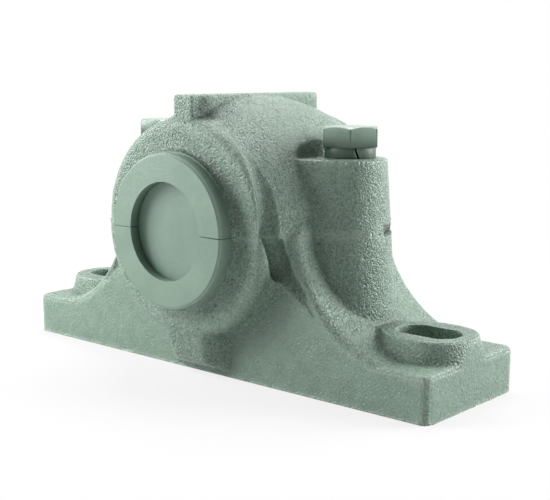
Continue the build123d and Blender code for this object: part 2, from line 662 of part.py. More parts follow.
# --- Clamping of the bearing on the shaft --------------------------------------------------------

def adapter_sleeve():
    """Slit sleeve, tapered outside to suit the bearing and threaded at its thin end."""
    thread_end = -BEARING_WIDTH / 2
    sleeve = turned([
        (SHAFT_RADIUS, SLEEVE_FRONT_Y),
        (THREAD_RADIUS, SLEEVE_FRONT_Y),
        (THREAD_RADIUS, thread_end),
        (taper_radius(thread_end), thread_end),
        (taper_radius(SLEEVE_REAR_Y), SLEEVE_REAR_Y),
        (SHAFT_RADIUS, SLEEVE_REAR_Y),
    ])
    slit = Pos(0, 0, CENTRE_HEIGHT) * Box(SLEEVE_SLIT, 3 * SLEEVE_LENGTH, BEARING_OUTER_RADIUS, align=SIT)
    return sleeve - slit


def lock_nut():
    """Round nut with slots for a hook spanner."""
    bore = THREAD_RADIUS + NUT_THREAD_CLEARANCE
    rim = NUT_RADIUS - NUT_CHAMFER
    nut = turned([(bore, NUT_FRONT_Y), (rim, NUT_FRONT_Y), (NUT_RADIUS, NUT_FRONT_Y + NUT_CHAMFER),
                  (NUT_RADIUS, LOCK_WASHER_FRONT_Y), (bore, LOCK_WASHER_FRONT_Y)])
    middle_y = (NUT_FRONT_Y + LOCK_WASHER_FRONT_Y) / 2
    for index in range(NUT_SLOT_COUNT):
        slot = Pos(0, middle_y, NUT_RADIUS - NUT_SLOT_DEPTH) * Box(
            NUT_SLOT_WIDTH, 2 * NUT_THICKNESS, NUT_RADIUS, align=SIT)
        nut -= Pos(0, 0, CENTRE_HEIGHT) * Rot(0, index * 360 / NUT_SLOT_COUNT, 0) * slot
    return nut


def lock_washer():
    """Toothed washer: an inner tongue lies in the sleeve's slit, and one tooth is bent
    forward into a slot of the nut."""
    bore = THREAD_RADIUS + LOCK_WASHER_BORE_CLEARANCE
    back_y = -BEARING_WIDTH / 2
    washer = turned([(bore, LOCK_WASHER_FRONT_Y), (LOCK_WASHER_BODY_RADIUS, LOCK_WASHER_FRONT_Y),
                     (LOCK_WASHER_BODY_RADIUS, back_y), (bore, back_y)])
    middle_y = (LOCK_WASHER_FRONT_Y + back_y) / 2
    tooth_length = LOCK_WASHER_TAB_RADIUS - LOCK_WASHER_BODY_RADIUS + OVERRUN
    for index in range(1, LOCK_WASHER_TAB_COUNT + 1):
        turn = index * 360 / (LOCK_WASHER_TAB_COUNT + 1)
        tooth = Pos(0, middle_y, LOCK_WASHER_BODY_RADIUS - OVERRUN) * Box(
            LOCK_WASHER_TAB_WIDTH, LOCK_WASHER_THICKNESS, tooth_length, align=SIT)
        washer += Pos(0, 0, CENTRE_HEIGHT) * Rot(0, turn, 0) * tooth
    slot_floor = NUT_RADIUS - NUT_SLOT_DEPTH
    root = Pos(0, middle_y, LOCK_WASHER_BODY_RADIUS - OVERRUN) * Box(
        LOCK_WASHER_TAB_WIDTH, LOCK_WASHER_THICKNESS,
        slot_floor + LOCK_WASHER_THICKNESS - LOCK_WASHER_BODY_RADIUS + OVERRUN, align=SIT)
    bent_length = NUT_THICKNESS / 2 + LOCK_WASHER_THICKNESS
    bent = Pos(0, back_y - bent_length / 2, slot_floor) * Box(
        LOCK_WASHER_TAB_WIDTH, bent_length, LOCK_WASHER_THICKNESS, align=SIT)
    tongue = Pos(0, middle_y, SHAFT_RADIUS + LOCK_WASHER_BORE_CLEARANCE) * Box(
        SLEEVE_SLIT - 2 * LOCK_WASHER_BORE_CLEARANCE, LOCK_WASHER_THICKNESS,
        LOCK_WASHER_BODY_RADIUS - SHAFT_RADIUS - OVERRUN, align=SIT)
    return washer + Pos(0, 0, CENTRE_HEIGHT) * (root + bent + tongue)


# --- Write one file per piece -------------------------------------------------------------------

def pieces():
    made = {
        "housing_base": housing_base(),
        "housing_cap": housing_cap(),
        "end_plug": end_plug(),
        "felt_strip_upper": felt_strip(True),
        "felt_strip_lower": felt_strip(False),
        "outer_ring": outer_ring(),
        "inner_ring": inner_ring(),
        "ball_cage": cage(),
        "locating_ring_front": locating_ring(-1),
        "locating_ring_rear": locating_ring(1),
        "adapter_sleeve": adapter_sleeve(),
        "lock_nut": lock_nut(),
        "lock_washer": lock_washer(),
    }
    for name, side in (("left", -1), ("right", 1)):
        made["cap_bolt_" + name] = cap_bolt(side)
        made["spring_washer_" + name] = spring_washer(side)
    for name, (x, y) in dowel_spots().items():
        made["dowel_pin_" + name] = dowel_pin(x, y)
    for row in ("front", "rear"):
        for index, centre in enumerate(ball_centres(row), start=1):
            made[f"ball_{row}_{index:02d}"] = Pos(*centre) * Sphere(BALL_RADIUS)
    return made


os.makedirs("parts", exist_ok=True)
for node, shape in pieces().items():
    export_step(shape, f"parts/{node}.step")
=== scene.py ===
# %% [markdown]
# # A split plummer block
# A plummer block holds the bearing of a line shaft. Its cast housing is split at the shaft
# axis, so that the cap lifts off without drawing the shaft out. The solids come from the CAD
# frame; this lesson gives them the skin of real castings, painted steel and bearing parts.
# Everything is in metres, +X along the foot, +Y along the shaft, +Z up.

# %% Load the frame
import math

import bpy
import numpy as np
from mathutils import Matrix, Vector


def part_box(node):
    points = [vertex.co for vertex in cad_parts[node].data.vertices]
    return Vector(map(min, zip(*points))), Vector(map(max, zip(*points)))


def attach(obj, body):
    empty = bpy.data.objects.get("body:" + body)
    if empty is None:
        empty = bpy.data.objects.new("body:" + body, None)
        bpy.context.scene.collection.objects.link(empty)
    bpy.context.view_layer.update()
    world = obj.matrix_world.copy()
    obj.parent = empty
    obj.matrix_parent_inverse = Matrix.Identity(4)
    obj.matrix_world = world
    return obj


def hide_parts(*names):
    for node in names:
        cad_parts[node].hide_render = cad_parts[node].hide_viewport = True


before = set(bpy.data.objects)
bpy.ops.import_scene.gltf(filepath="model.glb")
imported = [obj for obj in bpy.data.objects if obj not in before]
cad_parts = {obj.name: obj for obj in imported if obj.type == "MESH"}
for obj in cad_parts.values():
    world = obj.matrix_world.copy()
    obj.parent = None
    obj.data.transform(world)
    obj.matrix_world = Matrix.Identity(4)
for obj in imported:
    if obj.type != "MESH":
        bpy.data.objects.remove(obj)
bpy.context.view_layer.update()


# %% [markdown]
# Every length below is thought of in millimetres and used in metres. The shaft axis is the
# line that most of the shapes turn about, so its height is read once from the inner ring.

# %% Units and the shaft axis
MM = 0.001
ring_low, ring_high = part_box("inner_ring")
axis_z = (ring_low.z + ring_high.z) / 2
print("shaft axis height, mm:", round(axis_z / MM, 2))

# %% [markdown]
# ## Materials
# Node materials are built from three things: a colour function, so that colours can be
# written as hex values; one function that adds any node with its settings and links; and one
# that starts a material. Patterns read Object coordinates, which here are real metres, so a
# pattern's scale is one over its size in metres.

# %% Colour and node helpers
def linear(hex_colour):
    """A six-digit sRGB colour as the linear values that a shader wants."""
    values = [int(hex_colour[place:place + 2], 16) / 255 for place in (0, 2, 4)]
    return [v / 12.92 if v <= 0.04045 else ((v + 0.055) / 1.055) ** 2.4 for v in values] + [1.0]


def add_node(tree, kind, settings=None, **links):
    """Add one node. Settings with capital names or numbers fill its inputs, "ramp" gives a
    colour ramp's two stops, and the others are its properties. A link's name is an input's,
    or i and the input's number."""
    node = tree.nodes.new("ShaderNode" + kind)
    for name, value in (settings or {}).items():
        if name == "ramp":
            for stop, (position, hex_colour) in zip(node.color_ramp.elements, value):
                stop.position, stop.color = position, linear(hex_colour)
        elif isinstance(name, int) or name[0].isupper():
            node.inputs[name].default_value = value
        else:
            setattr(node, name, value)
    for name, source in links.items():
        by_number = name[0] == "i" and name[1:].isdigit()
        tree.links.new(source, node.inputs[int(name[1:]) if by_number else name.replace("_", " ")])
    return node


def start_material(name):
    """A new material with its shader, its tree and the place on the piece in metres."""
    material = bpy.data.materials.new(name)
    material.use_nodes = True
    tree = material.node_tree
    shader = tree.nodes["Principled BSDF"]
    place = add_node(tree, "TexCoord").outputs["Object"]
    return material, tree, shader, place


print("sage paint is", [round(v, 3) for v in linear("8AA094")[:3]])

# %% [markdown]
# ** Painted shade and dirt, painted highlights and wear.** Paint in a workshop doesn't keep one
# tone. Every crease is painted deep green, both as painted shade and as the oil and dust that
# settle there. The outer edges are painted pale, both as a painted highlight and as the rubbing
# of hands and rags. How hollow each place is comes from the mesh itself, as an attribute called
# hollow that is worked out further down, in millimetres: plus in a crease and minus on an edge.
# A piece without the attribute reads as zero, clean.

# %% Painted shade and dirt in hollows, painted highlights and wear on edges
# The deep green stands for painted shade in creases as well as dirt, the pale tone for a painted
# highlight on edges as well as wear.
FULL_SHADE_AND_DIRT, SHADE_AND_DIRT_SHARE, SHADE_AND_DIRT_COLOUR = 1.7, 0.92, "34493B"
FULL_HIGHLIGHT_AND_RUB, HIGHLIGHT_AND_RUB_SHARE, HIGHLIGHT_AND_RUB_COLOUR = -0.9, 0.3, "B9CBBE"


def shade_dirt_highlight_and_wear(tree, colour):
    """Deep green painted shade and dirt where the mesh says hollow, and a paler painted highlight
    and worn tone on its edges.
    """
    hollow = add_node(tree, "Attribute", {"attribute_name": "hollow"}).outputs["Fac"]
    # Painted shade and dirt: the deeper the hollow, the more of the deep green.
    shade_and_dirt_share = add_node(tree, "MapRange", {"From Min": 0.05, "From Max": FULL_SHADE_AND_DIRT,
                                        "To Max": SHADE_AND_DIRT_SHARE}, Value=hollow)
    darkening = add_node(tree, "Mix", {"data_type": "RGBA", 7: linear(SHADE_AND_DIRT_COLOUR)},
                    i0=shade_and_dirt_share.outputs[0], i6=colour)
    # Painted highlight and wear: the more an edge stands out, the more of the pale tone.
    highlight_and_rub = add_node(tree, "MapRange", {"From Min": -0.15, "From Max": FULL_HIGHLIGHT_AND_RUB,
                                         "To Max": HIGHLIGHT_AND_RUB_SHARE}, Value=hollow)
    return add_node(tree, "Mix", {"data_type": "RGBA", 7: linear(HIGHLIGHT_AND_RUB_COLOUR)},
                    i0=highlight_and_rub.outputs[0], i6=darkening.outputs[2]).outputs[2]


# The full dark is painted shade and dirt, and the full pale is a painted highlight and wear.
print("dirt is full at a hollow of", FULL_SHADE_AND_DIRT, "mm and wear at", FULL_HIGHLIGHT_AND_RUB, "mm")

# %% [markdown]
# ** Machinery paint on a sand casting.** Grey iron is poured into sand, and the sand's grain
# stays in the skin under one coat of alkyd paint: a fine orange-peel of grains, broad soft
# waves, and here and there a pit. The paint is a satin sage green. It is painted a touch lighter
# on the tops of the grains and deeper between them, as a painted highlight and painted shade, so
# that the relief shows in the shadows too. Grains of 0.87 mm, lumps of 3 mm and pits about 4 mm
# apart are summed in one height that drives the bump. The grains and broad waves of 9 mm give
# the colour, so that the colour belongs to the relief. A second attribute, grit, is one on most
# of the skin and less on the foot's flat sides and ends, which came out of the mould smoother.
# The bosses round the slots are rougher, and the dust of a workshop floor stays on their tops.

# %% Painted sand-cast iron
PAINT_IOR = 1.5
GRAINS, LUMPS, WAVES, PITS = 1150.0, 330.0, 110.0, 260.0  # so many to the metre
LUMP_SHARE, WAVE_SHARE, GRAIN_SHADE_BASE = 0.35, 0.12, 0.2
PIT_RADIUS, PIT_DEPTH = 0.22, 0.6


def painted_casting(name, grain_depth, colour_low, colour_high, gloss):
    """Gritty sand-cast iron under one coat of paint."""
    material, tree, shader, place = start_material(name)
    grain = add_node(tree, "TexNoise", {"Scale": GRAINS, "Detail": 2.0, "Roughness": 0.5,
                                        "Distortion": 0.4}, Vector=place)
    lumps = add_node(tree, "TexNoise", {"Scale": LUMPS, "Detail": 2.0, "Roughness": 0.55},
                     Vector=place)
    waves = add_node(tree, "TexNoise", {"Scale": WAVES, "Detail": 2.0, "Roughness": 0.5},
                     Vector=place)
    pits = add_node(tree, "TexVoronoi", {"Scale": PITS, "feature": "F1"}, Vector=place)
    sunk = add_node(tree, "MapRange", {"From Max": PIT_RADIUS, "To Min": -PIT_DEPTH,
                                       "To Max": 0.0}, Value=pits.outputs["Distance"])
    both = add_node(tree, "Math", {"operation": "MULTIPLY_ADD", 1: LUMP_SHARE},
                    i0=lumps.outputs["Fac"], i2=grain.outputs["Fac"])
    pitted = add_node(tree, "Math", {"operation": "ADD"}, i0=both.outputs[0],
                      i1=sunk.outputs[0])
    grit = add_node(tree, "Attribute", {"attribute_name": "grit"})
    height = add_node(tree, "Math", {"operation": "MULTIPLY"}, i0=pitted.outputs[0],
                      i1=grit.outputs["Fac"])
    bump = add_node(tree, "Bump", {"Strength": 1.0, "Distance": grain_depth},
                    Height=height.outputs[0])
    # Painted highlight and painted shade of the grains: the colour rises with the grain's height,
    # scaled by grit.
    raised = add_node(tree, "Math", {"operation": "SUBTRACT", 1: 0.5}, i0=grain.outputs["Fac"])
    grain_shade = add_node(tree, "Math", {"operation": "MULTIPLY_ADD", 2: GRAIN_SHADE_BASE},
                     i0=raised.outputs[0], i1=grit.outputs["Fac"])
    shade = add_node(tree, "Math", {"operation": "MULTIPLY_ADD", 1: WAVE_SHARE},
                     i0=waves.outputs["Fac"], i2=grain_shade.outputs[0])
    colours = add_node(tree, "ValToRGB", {"ramp": ((0.1, colour_low), (0.42, colour_high))},
                       Fac=shade.outputs[0])
    worn = add_node(tree, "MapRange", {"From Min": 0.3, "From Max": 0.7, "To Min": gloss - 0.06,
                                       "To Max": gloss + 0.08}, Value=waves.outputs["Fac"])
    tree.links.new(shade_dirt_highlight_and_wear(tree, colours.outputs["Color"]), shader.inputs["Base Color"])
    tree.links.new(worn.outputs[0], shader.inputs["Roughness"])
    tree.links.new(bump.outputs[0], shader.inputs["Normal"])
    shader.inputs["IOR"].default_value = PAINT_IOR
    return material


sand_cast_paint = painted_casting("painted_sand_cast_iron", grain_depth=0.85 * MM,
                                  colour_low="61796A", colour_high="93AC9B", gloss=0.27)
print("made", sand_cast_paint.name)

# %% [markdown]
# **The same paint on turned faces.** The collar's end face, its rim and the bolt seats were
# cut on a machine, so the paint there lies almost flat. A turning tool leaves fine rings round
# the shaft axis, 1.1 mm apart here, drawn coarser than the real 0.3 mm feed so that it shows.
# The wave runs on the distance from the axis plus the distance along it, so that it draws
# rings on an end face as well as round a collar's side.

# %% Painted turned faces
RING_SPACING = 1.1 * MM


def turned_rings(tree, place):
    """Height waves that ring the shaft axis."""
    moved = add_node(tree, "Mapping", {"Location": (0.0, 0.0, -axis_z),
                                       "Scale": (1.0, 0.0, 1.0)}, Vector=place)
    out = add_node(tree, "VectorMath", {"operation": "LENGTH"}, i0=moved.outputs[0])
    axes = add_node(tree, "SeparateXYZ", None, Vector=place)
    both = add_node(tree, "Math", {"operation": "ADD"}, i0=out.outputs["Value"],
                    i1=axes.outputs["Y"])
    turns = add_node(tree, "Math", {"operation": "MULTIPLY", 1: 2 * math.pi / RING_SPACING},
                     i0=both.outputs[0])
    return add_node(tree, "Math", {"operation": "SINE"}, i0=turns.outputs[0]).outputs[0]


def painted_turned(name, ring_share, colour_low, colour_high, gloss):
    """Turned iron under paint: a film that ripples every 2.4 mm, and a share of rings."""
    material, tree, shader, place = start_material(name)
    rings = turned_rings(tree, place)
    film = add_node(tree, "TexNoise", {"Scale": 420.0, "Detail": 3.0, "Roughness": 0.55},
                    Vector=place)
    height = add_node(tree, "Math", {"operation": "MULTIPLY_ADD", 1: ring_share}, i0=rings,
                      i2=film.outputs["Fac"])
    bump = add_node(tree, "Bump", {"Strength": 1.0, "Distance": 0.12 * MM},
                    Height=height.outputs[0])
    broad = add_node(tree, "TexNoise", {"Scale": 60.0, "Detail": 3.0, "Roughness": 0.5},
                     Vector=place)
    colours = add_node(tree, "ValToRGB", {"ramp": ((0.35, colour_low), (0.65, colour_high))},
                       Fac=broad.outputs["Fac"])
    tree.links.new(shade_dirt_highlight_and_wear(tree, colours.outputs["Color"]), shader.inputs["Base Color"])
    tree.links.new(bump.outputs[0], shader.inputs["Normal"])
    shader.inputs["Roughness"].default_value = gloss
    shader.inputs["IOR"].default_value = PAINT_IOR
    return material


turned_paint = painted_turned("painted_turned_iron", ring_share=0.06, colour_low="7C9585",
                              colour_high="859E8E", gloss=0.42)
disc_paint = painted_turned("painted_disc", ring_share=0.03, colour_low="799283",
                            colour_high="81998B", gloss=0.4)
print("made", turned_paint.name, "and", disc_paint.name)

# %% [markdown]
# **Bare machined iron.** The split faces, the bearing seat and the foot's underside stay
# unpainted. Cut grey iron is a dull metal with fine tool marks and darker graphite flecks.
# One function makes it and the bearing's metals too, which differ in colour, in gloss and in
# the size and depth of their marks. The marks are squeezed along the shaft, as a tool that
# turns round it leaves them.

# %% Bare machined iron
def bare_metal(name, colour_low, colour_high, gloss, mark_size, mark_depth):
    """A cut or ground metal with tool marks of one size and an 11 mm drift in tone."""
    material, tree, shader, place = start_material(name)
    squeezed = add_node(tree, "Mapping", {"Scale": (1.0, 12.0, 1.0)}, Vector=place)
    marks = add_node(tree, "TexNoise", {"Scale": 1 / mark_size, "Detail": 3.0, "Roughness": 0.6},
                     Vector=squeezed.outputs[0])
    bump = add_node(tree, "Bump", {"Strength": 0.6, "Distance": mark_depth},
                    Height=marks.outputs["Fac"])
    tone = add_node(tree, "TexNoise", {"Scale": 90.0, "Detail": 3.0}, Vector=place)
    colours = add_node(tree, "ValToRGB", {"ramp": ((0.35, colour_low), (0.65, colour_high))},
                       Fac=tone.outputs["Fac"])
    gloss_range = add_node(tree, "MapRange", {"To Min": gloss - 0.05, "To Max": gloss + 0.1},
                           Value=marks.outputs["Fac"])
    tree.links.new(colours.outputs["Color"], shader.inputs["Base Color"])
    tree.links.new(gloss_range.outputs[0], shader.inputs["Roughness"])
    tree.links.new(bump.outputs[0], shader.inputs["Normal"])
    shader.inputs["Metallic"].default_value = 1.0
    return material


machined_iron = bare_metal("machined_grey_iron", "7E7C78", "96948F", 0.42, 2.0 * MM, 0.05 * MM)
ground_steel = bare_metal("ground_bearing_steel", "B9BABB", "C9CACB", 0.2, 1.0 * MM, 0.01 * MM)
polished_steel = bare_metal("polished_ball_steel", "CDCECF", "D6D7D8", 0.08, 1.0 * MM, 0.004 * MM)
turned_steel = bare_metal("turned_sleeve_steel", "A3A3A2", "B4B4B3", 0.32, 1.2 * MM, 0.02 * MM)
oiled_steel = bare_metal("oiled_nut_steel", "6C6B69", "7F7E7C", 0.35, 1.2 * MM, 0.02 * MM)
spacer_iron = bare_metal("turned_spacer_iron", "6F6D6A", "83817D", 0.45, 1.5 * MM, 0.03 * MM)
cage_brass = bare_metal("machined_cage_brass", "B08A45", "C49C55", 0.28, 1.2 * MM, 0.02 * MM)
print("metals:", [m.name for m in (machined_iron, ground_steel, polished_steel, turned_steel,
                                   oiled_steel, spacer_iron, cage_brass)])

# %% [markdown]
# **Painted steel fasteners.** Bolt heads and spring washers were painted in place. A forged
# head is smooth, so its paint shows only a faint ripple of 2 mm, with the colour a little
# deeper on the washer where the film is thin over dark steel.

# %% Painted fasteners
def painted_steel(name, colour_low, colour_high, gloss):
    """Smooth forged or rolled steel under paint."""
    material, tree, shader, place = start_material(name)
    film = add_node(tree, "TexNoise", {"Scale": 500.0, "Detail": 3.0, "Roughness": 0.55},
                    Vector=place)
    bump = add_node(tree, "Bump", {"Strength": 0.8, "Distance": 0.1 * MM},
                    Height=film.outputs["Fac"])
    broad = add_node(tree, "TexNoise", {"Scale": 140.0, "Detail": 3.0}, Vector=place)
    colours = add_node(tree, "ValToRGB", {"ramp": ((0.35, colour_low), (0.65, colour_high))},
                       Fac=broad.outputs["Fac"])
    tree.links.new(shade_dirt_highlight_and_wear(tree, colours.outputs["Color"]), shader.inputs["Base Color"])
    tree.links.new(bump.outputs[0], shader.inputs["Normal"])
    shader.inputs["Roughness"].default_value = gloss
    shader.inputs["IOR"].default_value = PAINT_IOR
    return material


bolt_paint = painted_steel("painted_forged_steel", "758C7D", "7D9485", 0.26)
washer_paint = painted_steel("painted_spring_steel", "6C8276", "738A7D", 0.42)
print("made", bolt_paint.name, "and", washer_paint.name)

# %% [markdown]
# **Felt.** The open end is sealed by two half rings of grey wool felt. Felt is fibres matted
# together, with no weave: a soft, mottled surface without any gloss and with a little sheen.
# Real fibres are some hundredths of a millimetre thick, so they are drawn as tufts of 0.7 mm.

# %% Felt
def pressed_felt(name):
    """Matted wool fibres."""
    material, tree, shader, place = start_material(name)
    fibres = add_node(tree, "TexNoise", {"Scale": 1400.0, "Detail": 4.0, "Roughness": 0.7,
                                         "Distortion": 1.5}, Vector=place)
    bump = add_node(tree, "Bump", {"Strength": 1.0, "Distance": 0.3 * MM},
                    Height=fibres.outputs["Fac"])
    colours = add_node(tree, "ValToRGB", {"ramp": ((0.3, "6B655B"), (0.7, "9A9385"))},
                       Fac=fibres.outputs["Fac"])
    tree.links.new(colours.outputs["Color"], shader.inputs["Base Color"])
    tree.links.new(bump.outputs[0], shader.inputs["Normal"])
    shader.inputs["Roughness"].default_value = 0.95
    shader.inputs["Sheen Weight"].default_value = 0.3
    return material


felt = pressed_felt("pressed_wool_felt")
print("made", felt.name)

# %% [markdown]
# ## Castings
# A sand casting has no sharp inside corner: the pattern maker puts a fillet in each, so that
# the iron fills it and doesn't crack. Modelling every blend by hand takes long. Here a copy of
# the CAD mesh is merged and voxel remeshed, which turns it into an even net of small quads.
# Then the net is relaxed, and only the points that move outwards keep their move: hollows fill
# into fillets while outside edges stay. A light relaxing of all that isn't machined takes the
# sharpness off, as the sand and the paint do.

# %% Remesh a copy of each casting
SAME_POINT = 0.002 * MM
VOXEL = 0.75 * MM


def select_only(piece):
    """Select one object and nothing else, and make it the active one."""
    bpy.ops.object.select_all(action="DESELECT")
    piece.select_set(True)
    bpy.context.view_layer.objects.active = piece


def merged_copy(node, name):
    """A CAD node's mesh in a new object, its loose triangles joined and its shading plain."""
    piece = bpy.data.objects.new(name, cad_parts[node].data.copy())
    bpy.context.scene.collection.objects.link(piece)
    piece.data.materials.clear()
    select_only(piece)
    bpy.ops.object.mode_set(mode="EDIT")
    bpy.ops.mesh.select_all(action="SELECT")
    bpy.ops.mesh.remove_doubles(threshold=SAME_POINT)
    bpy.ops.object.mode_set(mode="OBJECT")
    bpy.ops.mesh.customdata_custom_splitnormals_clear()
    return piece


def add_and_apply(piece, kind, **settings):
    """Add a modifier with its settings and apply it at once."""
    select_only(piece)
    modifier = piece.modifiers.new(kind.title(), kind)
    for key, value in settings.items():
        setattr(modifier, key, value)
    bpy.ops.object.modifier_apply(modifier=modifier.name)


casting_names = {"housing_base": "base_casting", "housing_cap": "cap_casting"}
castings = {}
for node, name in casting_names.items():
    castings[node] = merged_copy(node, name)
    add_and_apply(castings[node], "REMESH", mode="VOXEL", voxel_size=VOXEL,
                  use_smooth_shade=True)
    print(name, "has", len(castings[node].data.vertices), "points")

# %% [markdown]
# Which points are machined is worked out from their place: the collars past the shoulder, all
# that lies inside the bearing chamber, the split faces, the foot's underside and the bolt
# seats. Those points never move. A remeshed point may lie on either side of its face, so each
# reach below goes half a millimetre or more past the machined face.

# %% Find the machined points
seat_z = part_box("spring_washer_right")[0].z
bolt_low, bolt_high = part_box("cap_bolt_right")
bolt_x = (bolt_low.x + bolt_high.x) / 2
COLLAR_REACH, COLLAR_FROM = 37.5 * MM, 51.8 * MM
CHAMBER_REACH, CHAMBER_END = 41.5 * MM, 40.4 * MM
BEARING_REACH, BEARING_END = 50.6 * MM, 22.6 * MM
BORE_REACH = 29 * MM
LEVEL_REACH = 0.9 * MM
BOLT_HOLE_REACH = 9.6 * MM
BOLT_SEAT_REACH, BOLT_SEAT_RISE = 15 * MM, 0.7 * MM


def points_of(mesh):
    """All of a mesh's points as one array, three numbers to a row."""
    flat = np.zeros(3 * len(mesh.vertices))
    mesh.vertices.foreach_get("co", flat)
    return flat.reshape(-1, 3)


def from_axis(points):
    """How far each point is from the shaft axis."""
    return np.hypot(points[:, 0], points[:, 2] - axis_z)


def from_bolts(points):
    """How far each point is from the nearer bolt's axis."""
    return np.hypot(np.abs(points[:, 0]) - bolt_x, points[:, 1])


def from_split(points):
    """How far each point is above or below the split."""
    return np.abs(points[:, 2] - axis_z)


def in_chamber(points):
    """True inside the chamber and the wider bearing seat in its middle."""
    radius, y_far = from_axis(points), np.abs(points[:, 1])
    bearing = (radius < BEARING_REACH) & (y_far < BEARING_END)
    return bearing | ((radius < CHAMBER_REACH) & (y_far < CHAMBER_END))


def on_bolt_seats(points):
    """True on the flat seats under the washers."""
    level = np.abs(points[:, 2] - seat_z) < BOLT_SEAT_RISE
    return level & (from_bolts(points) < BOLT_SEAT_REACH)


def machined_points(points):
    """True for each point on a machined face."""
    radius = from_axis(points)
    collar = (np.abs(points[:, 1]) > COLLAR_FROM) & (radius < COLLAR_REACH)
    round_faces = collar | in_chamber(points) | (radius < BORE_REACH)
    level_faces = (from_split(points) < LEVEL_REACH) | (points[:, 2] < LEVEL_REACH)
    bolt_faces = on_bolt_seats(points) | (from_bolts(points) < BOLT_HOLE_REACH)
    return round_faces | level_faces | bolt_faces


print("bolt seats at, mm:", round(seat_z / MM, 1), "bolt axis at, mm:", round(bolt_x / MM, 1))

# %% [markdown]
# Under each collar a pedestal stands on the foot. The pattern maker's filler has melted its
# edges into the shoulder above it, so that no edge is left. A Smooth modifier, held to the
# pedestals by a vertex group, does the same to the net. Each place that is treated in its own
# way from here on is a box of bounds, which hold on both sides of the middle.

# %% Blend the pedestals
ANY = (-1, 999)
PEDESTALS = ((-1, 27), (34, 57), (1.5, 36))
PEDESTAL_ROUNDS = 45


def in_box(points, box):
    """True where a point's distances from the middle, in millimetres, lie in the bounds."""
    far = np.abs(points) / MM
    return np.logical_and.reduce(
        [(far[:, axis] > low) & (far[:, axis] < high) for axis, (low, high) in enumerate(box)])


def relaxed_points(piece, rounds, group=None):
    """Where the points, or those of a group, go if the net is relaxed so many rounds."""
    trial = bpy.data.objects.new("trial", piece.data.copy())
    bpy.context.scene.collection.objects.link(trial)
    if group is not None:
        trial.vertex_groups.new(name="free").add(group, 1.0, "REPLACE")
    add_and_apply(trial, "SMOOTH", factor=0.5, iterations=rounds,
                  vertex_group="" if group is None else "free")
    moved = points_of(trial.data)
    bpy.data.objects.remove(trial)
    return moved


def move_points(piece, points):
    """Put a piece's points where an array says."""
    piece.data.vertices.foreach_set("co", points.ravel())
    piece.data.update()


base = castings["housing_base"]
start = points_of(base.data)
near = np.nonzero(in_box(start, PEDESTALS) & ~machined_points(start))[0].tolist()
move_points(base, relaxed_points(base, PEDESTAL_ROUNDS, near))
print("points of the pedestals:", len(near))

# %% [markdown]
# Now the fillets. A relaxing pulls points outwards in hollows and inwards on edges, and only
# the outward moves are kept, measured along each point's own normal. The four grooves that
# run from the split down the flanks are sharper on the real casting, so they are filled less.
# The second, shorter relaxing keeps every move.

# %% Fill the hollows and take off the sharpness
RUNOUTS = ((44, 78), (29, 999), (26, 70))
RUNOUT_SHARE = 0.15
FILLET_ROUNDS, SOFTEN_ROUNDS = 9, 3


def outward_moves(piece, moved):
    """The points' normals, and how far each point moved along its own."""
    normals = np.zeros(3 * len(piece.data.vertices))
    piece.data.vertices.foreach_get("normal", normals)
    normals = normals.reshape(-1, 3)
    return normals, np.einsum("ij,ij->i", moved - points_of(piece.data), normals)


def cast_skin(piece):
    """Fillets in the inside corners and softened outside edges, away from machined faces."""
    start = points_of(piece.data)
    held = machined_points(start)
    free = np.nonzero(~held)[0].tolist()
    normals, outward = outward_moves(piece, relaxed_points(piece, FILLET_ROUNDS, free))
    outward[in_box(start, RUNOUTS)] *= RUNOUT_SHARE
    grown = start + np.clip(outward, 0, None)[:, None] * normals
    grown[held] = start[held]
    move_points(piece, grown)
    softened = relaxed_points(piece, SOFTEN_ROUNDS, free)
    softened[held] = start[held]
    move_points(piece, softened)


for casting in castings.values():
    cast_skin(casting)
    print(casting.name, "has a cast skin")

# %% [markdown]
# The paint has to know where the creases are, which get painted shade and dirt, and where the
# edges are, which get a painted highlight and wear. A long relaxing, whose moves are measured
# and then dropped, tells just that: the net would rise in a hollow and sink on an edge. Grit is
# set here too, by place and by which way the skin looks. The corner beside the rib's front end,
# where the rib throws its shadow, gets a patch of painted shadow of its own.

# %% Mark the hollows and the grit
MARK_ROUNDS = 110
FOOT_SIDES = (ANY, (33.5, 36), (-1, 45))
FOOT_ENDS = ((125, 999), ANY, ANY)
BOSS_TOPS = ((75, 999), ANY, (28.8, 31.2))
SMOOTH_GRIT, ROUGH_GRIT = 0.45, 1.5
BOSS_DUST = 0.45
FACING, BOSS_FACING = 0.93, 0.9
# The rib's painted shadow: a patch painted dark beside the rib's front end.
RIB_SHADOW = 2.6
RIB_SHADOW_BESIDE, RIB_SHADOW_BEHIND = 9, 7
RIB_SHADOW_WIDTH, RIB_SHADOW_LENGTH = 4.5, 5
RIB_SIDE, RIB_ROOT, RIB_EDGE = 6 * MM, 116 * MM, 1.5 * MM


def keep_value(piece, name, values):
    """Keep one number for each point, for the paint to read."""
    if name not in piece.data.attributes:
        piece.data.attributes.new(name, "FLOAT", "POINT")
    piece.data.attributes[name].data.foreach_set("value", values)


def rib_corner_shadow(points):
    """A fading patch of painted shadow on the right of the rib, just behind its front end."""
    x, y, z = points[:, 0], points[:, 1], points[:, 2]
    rib_front = y[z > z.max() - RIB_EDGE].min()
    beside, behind = x / MM - RIB_SHADOW_BESIDE, (y - rib_front) / MM - RIB_SHADOW_BEHIND
    spread = (beside / RIB_SHADOW_WIDTH) ** 2 + (behind / RIB_SHADOW_LENGTH) ** 2
    darkening = RIB_SHADOW * np.exp(-spread)
    darkening[(z < RIB_ROOT) | (x < RIB_SIDE)] = 0
    return darkening


